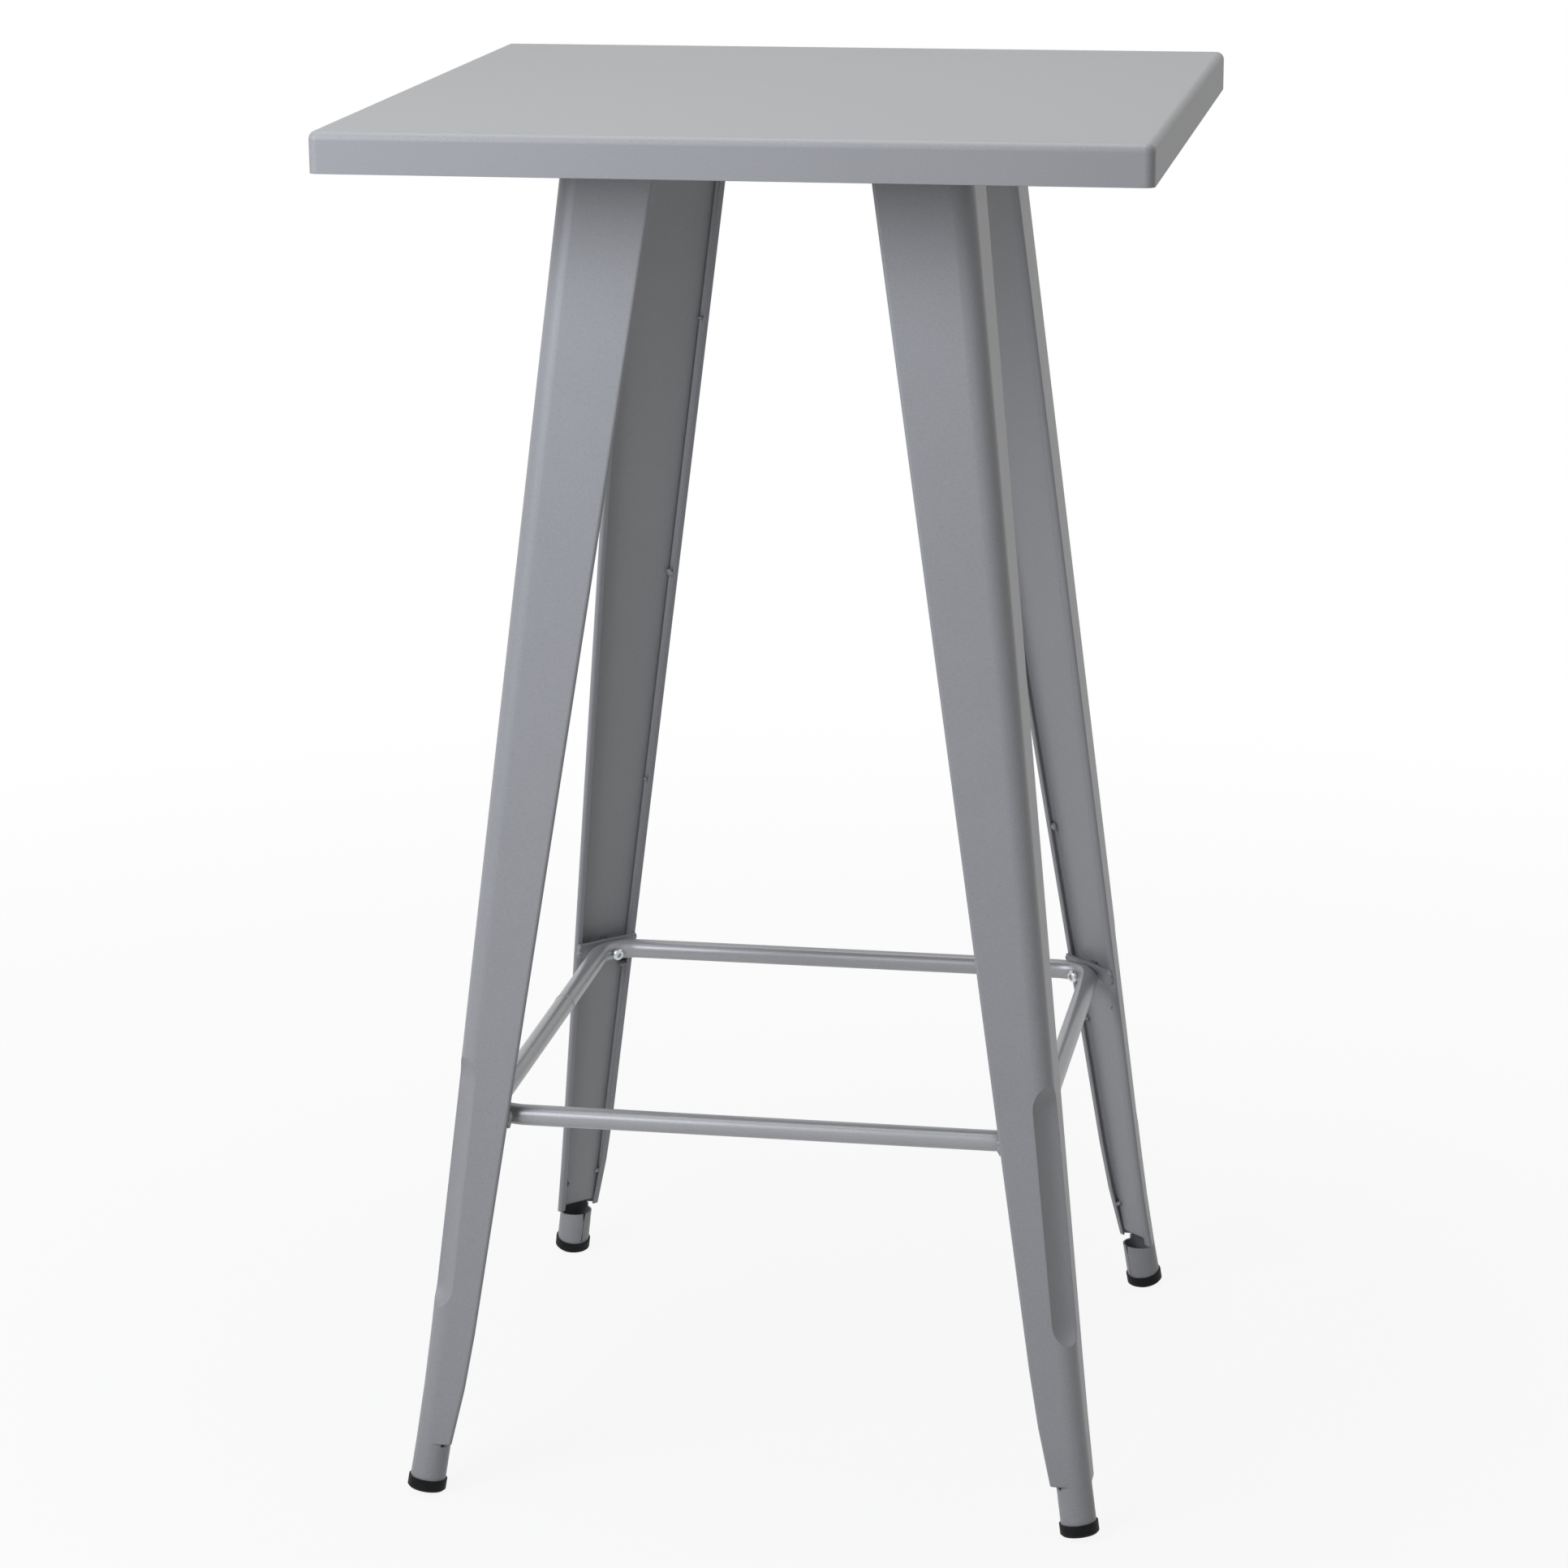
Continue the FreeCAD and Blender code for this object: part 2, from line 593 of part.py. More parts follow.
def make_mount_bracket(corner):
    body = new_body(f"leg_mount_bracket_{corner}")
    profile = body_sketch(body, "profile", plane="YZ_Plane")
    draw_outline(profile, [
        ("-Size.mount_web", "0"),
        ("0", "0"),
        ("Size.mount_foot * sin(Place.lean)", "Size.mount_foot * cos(Place.lean)"),
        ("Size.mount_foot * sin(Place.lean) - Size.mount_sheet * cos(Place.lean)",
         "Size.mount_foot * cos(Place.lean) + Size.mount_sheet * sin(Place.lean)"),
        ("-Size.mount_sheet * (1 - sin(Place.lean)) / cos(Place.lean)", "Size.mount_sheet"),
        ("-Size.mount_web", "Size.mount_sheet"),
    ])
    extrude(body, "Pad", profile, "Size.mount_width", side="Symmetric")
    near = value("Size.mount_sheet") / 4
    bend_drop = value("Size.mount_sheet * (1 - sin(Place.lean)) / cos(Place.lean)")
    inner_bend = Vector(0, -bend_drop, value("Size.mount_sheet"))
    round_edges(body, "outer_bend", "Size.mount_bend_radius + Size.mount_sheet",
                lambda middle: middle.Length < near)
    round_edges(body, "inner_bend", "Size.mount_bend_radius",
                lambda middle: middle.distanceToPoint(inner_bend) < near)
    holes = body_sketch(body, "holes")
    for side in ("-", ""):
        draw_circle(holes, f"{side}Size.mount_bolt_pitch / 2", "-Size.mount_bolt_drop",
                    "Size.mount_bolt_radius + Size.hole_clearance")
    extrude(body, "Pocket", holes, "Size.mount_sheet + Size.cut_overrun", backward=True)
    body.Placement = corner_turn(corner).multiply(face_frame(plate_front_point))
    nodes[body.Name] = body


def make_rest_bracket(corner):
    body = new_body(f"footrest_bracket_{corner}")
    outline = body_sketch(body, "outline")
    draw_rectangle(outline, "-Place.rest_half", "Place.rest_half",
                   "-Size.rest_bracket_height / 2", "Size.rest_bracket_height / 2")
    draw_circle(outline, "0", "0", "Size.rest_bolt_radius + Size.hole_clearance")
    extrude(body, "Pad", outline, "Size.rest_bracket_sheet")
    body.Placement = corner_turn(corner).multiply(face_frame(rest_point))
    nodes[body.Name] = body


def make_foot_cap(corner):
    profile = plain_sketch(f"{corner}_cap_profile", Placement(Vector(), Rotation(Vector(1, 0, 0), 90)))
    edge = "Size.cap_edge_radius"
    cavity = "Size.foot_tube_radius + Size.cap_clearance"
    draw_outline(profile, [("0", "0"), (f"Size.cap_radius - {edge}", "0"), ("Size.cap_radius", edge),
                           ("Size.cap_radius", "Size.cap_height"), (cavity, "Size.cap_height"),
                           (cavity, "Size.cap_floor"), ("0", "Size.cap_floor")])
    cup = doc.addObject("Part::Revolution", f"{corner}_cup")
    cup.Source = profile
    cup.Axis = Vector(0, 0, 1)
    cup.Angle = 360
    cup.Solid = True
    cup.Placement = Placement(cap_point, Rotation(sideways, -math.degrees(foot_lean)))
    half = value("2 * Size.cap_radius")
    floor_start = Vector(value("Place.foot_reach") - half, -half, -value("Size.cap_height"))
    floor = block(f"{corner}_floor", "4 * Size.cap_radius", "4 * Size.cap_radius", "Size.cap_height",
                  Placement(floor_start, Rotation()))
    cap = cut(f"foot_cap_{corner}", cup, floor)
    cap.Placement = corner_turn(corner)
    nodes[f"foot_cap_{corner}"] = cap


# Footrest ring: one bent tube, pressed flat inside each corner where a bolt passes through.
def make_footrest_ring():
    path = plain_sketch("ring_path")
    path.setExpression("Placement.Base.z", "Size.ring_level")
    draw_rounded_square(path, "Place.ring_half", "Size.ring_bend_radius")
    doc.recompute()
    path_edges = [f"Edge{i + 1}" for i in range(len(path.Shape.Edges))]
    bolt_reach = Vector(value("Place.ring_reach"), 0, value("Size.ring_level"))
    tube_height = 2 * value("Size.ring_tube_radius")
    solids = []
    for part, radius, seat, width in (
            ("tube", "Size.ring_tube_radius", "Place.ring_seat", "Size.ring_seat_width"),
            ("bore", "Place.ring_bore", "Place.ring_seat - Size.ring_wall",
             "Size.ring_seat_width + 2 * Size.ring_wall")):
        profile = plain_sketch(f"ring_{part}_profile", Placement(Vector(), Rotation(Vector(1, 1, 1), 120)))
        draw_circle(profile, "-Place.ring_half", "Size.ring_level", radius)
        sweep = doc.addObject("Part::Sweep", f"ring_{part}")
        sweep.Sections = [profile]
        sweep.Spine = (path, path_edges)
        sweep.Solid = True
        seats = []
        for corner in corners:
            start = Vector(value(seat), -value(width) / 2, -tube_height / 2)
            seat_place = axis_frame(bolt_reach).multiply(Placement(start, Rotation()))
            place = corner_turn(corner).multiply(seat_place)
            seats.append(block(f"ring_{part}_seat_{corner}", "2 * Size.ring_tube_radius", width,
                               "2 * Size.ring_tube_radius", place))
        solids.append(cut(f"ring_seated_{part}", sweep, join(f"ring_{part}_seats", seats)))
    holes = []
    for corner in corners:
        through = frame_at(bolt_reach + inward * tube_height, sideways, along_face)
        holes.append(rod(f"ring_hole_{corner}", "Size.rest_bolt_radius + Size.hole_clearance",
                         "4 * Size.ring_tube_radius", corner_turn(corner).multiply(through)))
    hollow = cut("ring_hollow", *solids)
    nodes["footrest_ring"] = cut("footrest_ring", hollow, join("ring_holes", holes))


def make_bolts(name, prefix, seat_points):
    body = new_body(name)
    features = []
    radius = f"Size.{prefix}_bolt_radius"
    head = f"Size.{prefix}_head_radius"
    height = f"Size.{prefix}_head_height"
    for number, seat in enumerate(seat_points, start=1):
        profile = body_sketch(body, f"profile_{number}", offset=axis_frame(seat))
        draw_outline(profile, [(f"-Size.{prefix}_bolt_length", "0"), (f"-Size.{prefix}_bolt_length", radius),
                               ("0", radius), ("0", head), (f"Size.{prefix}_head_rim", head),
                               (height, f"{head} - Size.{prefix}_head_slope"), (height, "0")])
        turned = body.newObject("PartDesign::Revolution", f"{name}_turned_{number}")
        turned.Profile = profile
        turned.ReferenceAxis = (profile, ["H_Axis"])
        turned.Angle = 360
        socket = body_sketch(body, f"socket_{number}", offset=face_frame(seat + inward * value(height)))
        draw_hexagon(socket, "0", "0", f"Size.{prefix}_socket_flats")
        features += [turned, extrude(body, "Pocket", socket, f"Size.{prefix}_socket_depth")]
    around_legs(body, features)
    nodes[name] = body


def make_nuts(name, prefix, back_points):
    body = new_body(name)
    features = []
    for number, back in enumerate(back_points, start=1):
        outline = body_sketch(body, f"outline_{number}", offset=face_frame(back))
        draw_hexagon(outline, "0", "0", f"Size.{prefix}_nut_flats")
        draw_circle(outline, "0", "0", f"Size.{prefix}_bolt_radius + Size.thread_clearance")
        features.append(extrude(body, "Pad", outline, f"Size.{prefix}_nut_height", backward=True))
    around_legs(body, features)
    nodes[name] = body


def make_washers(name, face_points):
    body = new_body(name)
    features = []
    for number, face in enumerate(face_points, start=1):
        outline = body_sketch(body, f"outline_{number}", offset=face_frame(face))
        draw_circle(outline, "0", "0", "Size.washer_radius")
        draw_circle(outline, "0", "0", "Size.mount_bolt_radius + Size.hole_clearance")
        features.append(extrude(body, "Pad", outline, "Size.washer_sheet"))
    around_legs(body, features)
    nodes[name] = body


make_table_top()
for side in sides:
    make_stiffener(side)
for corner in corners:
    make_leg_shell(corner)
    make_inner_plate(corner)
    make_mount_bracket(corner)
    make_rest_bracket(corner)
    make_foot_cap(corner)
make_footrest_ring()

rest_seat = Vector(value("Place.ring_reach"), 0, value("Size.ring_level")) + inward * value("Place.ring_seat")
make_bolts("footrest_bolts", "rest", [rest_seat])
make_nuts("footrest_weld_nuts", "rest", [rest_point])

hole_points = [plate_front_point - along_face * value("Size.mount_bolt_drop") + sideways * offset
               for offset in (-value("Size.mount_bolt_pitch") / 2, value("Size.mount_bolt_pitch") / 2)]
washer_faces = [point + inward * value("Size.mount_sheet") for point in hole_points]
make_washers("leg_washers", washer_faces)
make_bolts("leg_bolts", "mount", [point + inward * value("Size.washer_sheet") for point in washer_faces])
make_nuts("leg_weld_nuts", "mount", [point - inward * value("Size.plate_sheet") for point in hole_points])

doc.recompute()

for thing in doc.Objects:
    if "Invalid" in thing.State or "Error" in thing.State:
        raise RuntimeError(f"{thing.Name}: {thing.State}")

os.makedirs("parts", exist_ok=True)
for name, node in nodes.items():
    node.Label = name
    if node.Shape.isNull() or not node.Shape.isValid():
        raise RuntimeError(f"{name} has no valid shape")
    node.Shape.exportStep(f"parts/{name}.step")
    print(name, len(node.Shape.Solids), round(node.Shape.Volume))
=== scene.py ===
import json
import math

import bpy
from mathutils import Matrix, Vector


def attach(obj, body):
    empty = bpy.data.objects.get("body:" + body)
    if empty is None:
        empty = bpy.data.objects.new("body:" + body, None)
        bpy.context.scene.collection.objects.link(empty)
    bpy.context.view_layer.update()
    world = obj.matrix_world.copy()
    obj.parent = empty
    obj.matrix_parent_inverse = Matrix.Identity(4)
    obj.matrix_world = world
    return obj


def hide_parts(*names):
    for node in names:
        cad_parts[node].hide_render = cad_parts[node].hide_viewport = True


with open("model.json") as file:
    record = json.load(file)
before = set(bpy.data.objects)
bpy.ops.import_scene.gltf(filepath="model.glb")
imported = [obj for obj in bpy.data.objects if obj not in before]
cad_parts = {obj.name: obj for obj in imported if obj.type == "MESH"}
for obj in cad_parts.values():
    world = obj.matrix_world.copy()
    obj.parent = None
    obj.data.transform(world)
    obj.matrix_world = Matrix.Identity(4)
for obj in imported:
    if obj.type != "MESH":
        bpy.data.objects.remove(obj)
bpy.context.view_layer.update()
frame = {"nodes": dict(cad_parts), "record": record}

# lines of one leg along its diagonal, metres, as the CAD solids have them
legLines = {
    "footLevel": 0.042,
    "headLevel": 1.0582,
    "faceFoot": 0.34436,
    "faceHead": 0.15471,
    "lipFoot": 0.01666,
    "lipHead": 0.0465,
    "ankleLevel": 0.13,
    "ankleOut": 0.00442,
    "ankleIn": 0.00212,
    "recess": 0.0065,
}
corners = ["back_right", "back_left", "front_left", "front_right"]


def legTurn(corner):
    return Matrix.Rotation(math.radians(45 + 90 * corners.index(corner)), 4, "Z")


def alongLeg(foot, head, level):
    share = (level - legLines["footLevel"]) / (legLines["headLevel"] - legLines["footLevel"])
    return legLines[foot] + (legLines[head] - legLines[foot]) * share


# how far the lower leg has curved outward: 0 above the ankle, 1 at the foot level
def ankleCurve(level):
    rise = legLines["ankleLevel"] - legLines["footLevel"]
    return max(0, (legLines["ankleLevel"] - level) / rise) ** 2


faceSlope = (legLines["faceFoot"] - legLines["faceHead"]) / (legLines["headLevel"] - legLines["footLevel"])
faceLean = math.atan(faceSlope)


def deselectAll():
    if bpy.context.mode != "OBJECT":
        bpy.ops.object.mode_set(mode="OBJECT")
    bpy.ops.object.select_all(action="DESELECT")


def applyModifiers(piece):
    deselectAll()
    bpy.context.view_layer.objects.active = piece
    piece.select_set(True)
    for modifier in list(piece.modifiers):
        bpy.ops.object.modifier_apply(modifier=modifier.name)


def smoothPiece(piece, angle):
    deselectAll()
    bpy.context.view_layer.objects.active = piece
    piece.select_set(True)
    bpy.ops.object.shade_smooth_by_angle(angle=math.radians(angle))


def copyTo(piece, place, name):
    twin = piece.copy()
    twin.data = piece.data.copy()
    twin.data.transform(place)
    twin.name = name
    bpy.context.collection.objects.link(twin)
    return twin


def joinPieces(pieces, name):
    deselectAll()
    for piece in pieces:
        piece.select_set(True)
    bpy.context.view_layer.objects.active = pieces[0]
    bpy.ops.object.join()
    pieces[0].name = name
    pieces[0].data.name = name
    return pieces[0]


def removePiece(piece):
    bpy.data.meshes.remove(piece.data)


def finishPiece(piece, material, slotName, *nodes):
    piece.data.materials.clear()
    piece.data.materials.append(material)
    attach(piece, "root")
    if nodes:
        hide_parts(*nodes)


# shader groups

def newGroup(name, inputs, outputs):
    group = bpy.data.node_groups.new(name, "ShaderNodeTree")
    for label, kind, value in inputs:
        socket = group.interface.new_socket(label, in_out="INPUT", socket_type=kind)
        socket.default_value = value
    for label, kind in outputs:
        group.interface.new_socket(label, in_out="OUTPUT", socket_type=kind)
    return group, group.nodes.new("NodeGroupInput"), group.nodes.new("NodeGroupOutput")


def noiseNode(tree, vector, scale, detail, rough=0.5):
    noise = tree.nodes.new("ShaderNodeTexNoise")
    noise.inputs["Scale"].default_value = scale
    noise.inputs["Detail"].default_value = detail
    noise.inputs["Roughness"].default_value = rough
    tree.links.new(vector, noise.inputs["Vector"])
    return noise.outputs["Fac"]


def mapRange(tree, value, low, high, newLow, newHigh):
    remap = tree.nodes.new("ShaderNodeMapRange")
    remap.inputs["From Min"].default_value = low
    remap.inputs["From Max"].default_value = high
    remap.inputs["To Min"].default_value = newLow
    remap.inputs["To Max"].default_value = newHigh
    tree.links.new(value, remap.inputs["Value"])
    return remap.outputs["Result"]


def mathNode(tree, operation, first, second):
    node = tree.nodes.new("ShaderNodeMath")
    node.operation = operation
    for index, value in enumerate((first, second)):
        if isinstance(value, (int, float)):
            node.inputs[index].default_value = value
        else:
            tree.links.new(value, node.inputs[index])
    return node.outputs["Value"]


def mixColor(tree, factor, first, second, blend="MIX"):
    node = tree.nodes.new("ShaderNodeMix")
    node.data_type = "RGBA"
    node.blend_type = blend
    for label, value in (("Factor", factor), ("A", first), ("B", second)):
        if isinstance(value, (int, float, tuple)):
            node.inputs[label].default_value = value
        else:
            tree.links.new(value, node.inputs[label])
    return node.outputs["Result"]


# metallic powder coat: fine bright and dark flecks, slow mottling, orange peel
# each noise has its scale, detail and, where given, roughness
coatGrain = {
    "fleck": (1400, 1.0), "mottle": (16, 4.0, 0.6), "peel": (420, 2.0), "span": (0.3, 0.7),
    "mottleRough": 0.012, "fleckRough": 0.006,
}


def makeCoatGroup():
    group, start, end = newGroup("powderCoat", [
        ("Coat", "NodeSocketColor", (0.4, 0.41, 0.42, 1)),
        ("Fleck", "NodeSocketFloat", 0.2),
        ("Mottle", "NodeSocketFloat", 0.1),
        ("Gloss", "NodeSocketFloat", 0.4),
    ], [("Color", "NodeSocketColor"), ("Roughness", "NodeSocketFloat"), ("Height", "NodeSocketFloat")])
    place = group.nodes.new("ShaderNodeTexCoord").outputs["Object"]
    fleck = mapRange(group, noiseNode(group, place, *coatGrain["fleck"]), *coatGrain["span"], -1, 1)
    mottle = mapRange(group, noiseNode(group, place, *coatGrain["mottle"]), *coatGrain["span"], -1, 1)
    fleckShare = mathNode(group, "MULTIPLY", fleck, start.outputs["Fleck"])
    mottleShare = mathNode(group, "MULTIPLY", mottle, start.outputs["Mottle"])
    change = mathNode(group, "ADD", mathNode(group, "ADD", fleckShare, mottleShare), 1.0)
    grey = group.nodes.new("ShaderNodeCombineColor")
    for channel in ("Red", "Green", "Blue"):
        group.links.new(change, grey.inputs[channel])
    flecked = mixColor(group, 1.0, start.outputs["Coat"], grey.outputs["Color"], "MULTIPLY")
    group.links.new(flecked, end.inputs["Color"])
    mottleRough = mathNode(group, "MULTIPLY", mottle, coatGrain["mottleRough"])
    fleckRough = mathNode(group, "MULTIPLY", fleck, coatGrain["fleckRough"])
    rough = mathNode(group, "ADD", start.outputs["Gloss"], mottleRough)
    group.links.new(mathNode(group, "ADD", rough, fleckRough), end.inputs["Roughness"])
    group.links.new(noiseNode(group, place, *coatGrain["peel"]), end.inputs["Height"])
    return group


# a soft mask that grows toward the floor, with a ragged upper edge: painted shade near the floor on the
# coats, dust on the rubber caps
floorShadeAndDustShape = {"patch": (60, 3.0), "ragged": 0.6, "full": 0.2, "gone": 1.4}


def makeFloorShadeAndDustGroup():
    group, start, end = newGroup("floorShadeAndDust", [
        ("Level", "NodeSocketFloat", 0.1),
        ("Amount", "NodeSocketFloat", 0.3),
    ], [("Mask", "NodeSocketFloat")])
    place = group.nodes.new("ShaderNodeTexCoord").outputs["Object"]
    split = group.nodes.new("ShaderNodeSeparateXYZ")
    group.links.new(place, split.inputs["Vector"])
    height = mathNode(group, "DIVIDE", split.outputs["Z"], start.outputs["Level"])
    patch = noiseNode(group, place, *floorShadeAndDustShape["patch"])
    ragged = mathNode(group, "ADD", height, mathNode(group, "MULTIPLY", patch, floorShadeAndDustShape["ragged"]))
    fade = mapRange(group, ragged, floorShadeAndDustShape["full"], floorShadeAndDustShape["gone"], 1, 0)
    group.links.new(mathNode(group, "MULTIPLY", fade, start.outputs["Amount"]), end.inputs["Mask"])
    return group


# butt seam of each foot tube on the side toward the table's middle, open at both ends
seamShape = {
    "half": 0.00035, "inside": 0.488, "below": 0.041,
    "topFrom": 0.030, "topTo": 0.037, "topGap": 0.0011,
    "lowFrom": 0.0125, "lowTo": 0.0145, "lowGap": 0.0009,
}


def makeSeamGroup():
    group, _, end = newGroup("footSeam", [], [("Mask", "NodeSocketFloat")])
    split = group.nodes.new("ShaderNodeSeparateXYZ")
    group.links.new(group.nodes.new("ShaderNodeTexCoord").outputs["Object"], split.inputs["Vector"])
    across = mathNode(group, "ABSOLUTE", split.outputs["X"], 0)
    along = mathNode(group, "ABSOLUTE", split.outputs["Y"], 0)
    height = split.outputs["Z"]
    off = mathNode(group, "ABSOLUTE", mathNode(group, "SUBTRACT", across, along), 0)
    topEnd = mapRange(group, height, seamShape["topFrom"], seamShape["topTo"], 0, seamShape["topGap"])
    lowEnd = mapRange(group, height, seamShape["lowFrom"], seamShape["lowTo"], seamShape["lowGap"], 0)
    width = mathNode(group, "ADD", mathNode(group, "ADD", topEnd, lowEnd), seamShape["half"])
    line = mathNode(group, "LESS_THAN", off, width)
    inner = mathNode(group, "LESS_THAN", mathNode(group, "ADD", across, along), seamShape["inside"])
    low = mathNode(group, "LESS_THAN", height, seamShape["below"])
    innerLine = mathNode(group, "MULTIPLY", line, inner)
    group.links.new(mathNode(group, "MULTIPLY", innerLine, low), end.inputs["Mask"])
    return group


coatGroup = makeCoatGroup()
floorShadeAndDustGroup = makeFloorShadeAndDustGroup()
seamGroup = makeSeamGroup()


def newMaterial(name):
    material = bpy.data.materials.new(name)
    material.use_nodes = True
    tree = material.node_tree
    return material, tree, tree.nodes["Principled BSDF"]


def placeGroup(tree, group, **values):
    node = tree.nodes.new("ShaderNodeGroup")
    node.node_tree = group
    for label, value in values.items():
        node.inputs[label].default_value = value
    return node


edgeSamples = 6


def addBump(tree, shader, height, strength, distance, edge=0):
    bump = tree.nodes.new("ShaderNodeBump")
    bump.inputs["Strength"].default_value = strength
    bump.inputs["Distance"].default_value = distance
    tree.links.new(height, bump.inputs["Height"])
    if edge:
        soften = tree.nodes.new("ShaderNodeBevel")
        soften.samples = edgeSamples
        soften.inputs["Radius"].default_value = edge
        tree.links.new(soften.outputs["Normal"], bump.inputs["Normal"])
    tree.links.new(bump.outputs["Normal"], shader.inputs["Normal"])


# each coat's colour, flecks, mottling and shine, and the radius that softens its edges; the plate and tube
# colours are the one silver coat made lighter than the leg's, painted light
coatLooks = {
    "top": {"color": (0.37, 0.374, 0.384, 1),
            "fleck": 0.09, "mottle": 0.01, "gloss": 0.54, "metal": 0.15, "edge": 0.0008},
    "leg": {"color": (0.365, 0.369, 0.38, 1),
            "fleck": 0.09, "mottle": 0.015, "gloss": 0.43, "metal": 0.1, "edge": 0.0014},
    # the inner plates' colour is lighter than the leg's: painted light
    "plate": {"color": (0.40, 0.403, 0.41, 1),
              "fleck": 0.09, "mottle": 0.02, "gloss": 0.42, "metal": 0.12, "edge": 0.0006},
    # the ring tube's colour is lighter than the leg's: painted light
    "tube": {"color": (0.43, 0.434, 0.444, 1),
             "fleck": 0.08, "mottle": 0.02, "gloss": 0.32, "metal": 0.3, "edge": 0},
    "bracket": {"color": (0.35, 0.355, 0.365, 1),
                "fleck": 0.09, "mottle": 0.03, "gloss": 0.42, "metal": 0.12, "edge": 0.0006},
    "weld": {"color": (0.34, 0.344, 0.355, 1),
             "fleck": 0.12, "mottle": 0.08, "gloss": 0.44, "metal": 0.12, "edge": 0},
}
# the same on every coat: painted shade near the floor, the dark of the seam, plain shine, orange peel
coatWear = {
    "floorShadeLevel": 0.09, "floorShadeAmount": 0.18, "floorShade": (0.16, 0.155, 0.15, 1),
    "seam": (0.02, 0.02, 0.022, 1), "shine": 0.3, "peel": 0.06, "peelDepth": 0.0004,
}


def makeCoat(name, look):
    material, tree, shader = newMaterial(name)
    coat = placeGroup(tree, coatGroup, Coat=look["color"], Fleck=look["fleck"], Mottle=look["mottle"],
                      Gloss=look["gloss"])
    floorShade = placeGroup(tree, floorShadeAndDustGroup, Level=coatWear["floorShadeLevel"], Amount=coatWear["floorShadeAmount"])
    seam = placeGroup(tree, seamGroup)
    # coat mixed toward a dark colour near the floor: painted shade
    dustAndShadeMixed = mixColor(tree, floorShade.outputs["Mask"], coat.outputs["Color"], coatWear["floorShade"])
    marked = mixColor(tree, seam.outputs["Mask"], dustAndShadeMixed, coatWear["seam"])
    tree.links.new(marked, shader.inputs["Base Color"])
    tree.links.new(coat.outputs["Roughness"], shader.inputs["Roughness"])
    shader.inputs["Metallic"].default_value = look["metal"]
    shader.inputs["Specular IOR Level"].default_value = coatWear["shine"]
    addBump(tree, shader, coat.outputs["Height"], coatWear["peel"], coatWear["peelDepth"], look["edge"])
    return material


# bare metal: zinc plate with a cool, slightly clouded sheen, and dull, blotched nut steel
metalLooks = {
    "zincPlate": {"dark": (0.60, 0.65, 0.67, 1), "pale": (0.72, 0.74, 0.73, 1), "gloss": (0.24, 0.36),
                  "metal": 0.9, "cloud": (350, 3.0), "grain": (2200, 2.0), "bump": (0.1, 0.0002)},
    "nutSteel": {"dark": (0.20, 0.20, 0.205, 1), "pale": (0.32, 0.32, 0.32, 1), "gloss": (0.4, 0.55),
                 "metal": 0.8, "cloud": (220, 4.0), "grain": (1500, 3.0), "bump": (0.15, 0.0002)},
}
cloudSpan = (0.35, 0.65)


def makeMetal(name, look):
    material, tree, shader = newMaterial(name)
    place = tree.nodes.new("ShaderNodeTexCoord").outputs["Object"]
    cloud = mapRange(tree, noiseNode(tree, place, *look["cloud"]), *cloudSpan, 0, 1)
    tree.links.new(mixColor(tree, cloud, look["dark"], look["pale"]), shader.inputs["Base Color"])
    tree.links.new(mapRange(tree, cloud, 0, 1, *look["gloss"]), shader.inputs["Roughness"])
    shader.inputs["Metallic"].default_value = look["metal"]
    addBump(tree, shader, noiseNode(tree, place, *look["grain"]), *look["bump"])
    return material


# black moulded rubber: fine grain, dust on the lower edge
rubberLook = {
    "black": (0.007, 0.007, 0.008, 1), "scuff": (0.014, 0.014, 0.015, 1), "dust": (0.03, 0.028, 0.026, 1),
    "dustLevel": 0.006, "dustAmount": 0.25, "gloss": (0.5, 0.66), "shine": 0.15, "bump": (0.2, 0.0003),
    "grain": (900, 3.0), "grainSpan": (0.3, 0.7), "patches": (130, 4.0), "patchSpan": (0.45, 0.7),
}


def makeRubber():
    material, tree, shader = newMaterial("capRubber")
    place = tree.nodes.new("ShaderNodeTexCoord").outputs["Object"]
    grain = noiseNode(tree, place, *rubberLook["grain"])
    patches = noiseNode(tree, place, *rubberLook["patches"])
    scuff = mapRange(tree, patches, *rubberLook["patchSpan"], 0, 1)
    dust = placeGroup(tree, floorShadeAndDustGroup, Level=rubberLook["dustLevel"], Amount=rubberLook["dustAmount"])
    black = mixColor(tree, scuff, rubberLook["black"], rubberLook["scuff"])
    dustAndShadeMixed = mixColor(tree, dust.outputs["Mask"], black, rubberLook["dust"])
    tree.links.new(dustAndShadeMixed, shader.inputs["Base Color"])
    rough = mapRange(tree, grain, *rubberLook["grainSpan"], *rubberLook["gloss"])
    tree.links.new(rough, shader.inputs["Roughness"])
    shader.inputs["Specular IOR Level"].default_value = rubberLook["shine"]
    addBump(tree, shader, grain, *rubberLook["bump"])
    return material


coats = {part: makeCoat(part + "Coat", look) for part, look in coatLooks.items()}
metals = {name: makeMetal(name, look) for name, look in metalLooks.items()}
capRubber = makeRubber()
slotMaterials = {
    "silver_coat_top": coats["top"],
    "silver_coat_leg": coats["leg"],
    "silver_coat_plate": coats["plate"],
    "silver_coat_tube": coats["tube"],
    "silver_coat_bracket": coats["bracket"],
    "zinc_fastener": metals["zincPlate"],
    "plain_weld_nut": metals["nutSteel"],
    "foot_cap_rubber": capRubber,
}
for part in frame["record"]["subparts"]:
    node = frame["nodes"][part["node"]]
    node.data.materials.clear()
    node.data.materials.append(slotMaterials[part["material_slot"]])
print("materials on", len(frame["nodes"]), "nodes")

# footrest ring: one bent tube, pressed flat where each bolt holds it
ringShape = {
    "level": 0.298, "half": 0.21052, "bend": 0.03, "radius": 0.008, "press": 0.0024, "spread": 0.017,
    "sides": 36, "lengths": 30, "steps": 28, "weldGap": 0.0001, "smooth": 60,
}


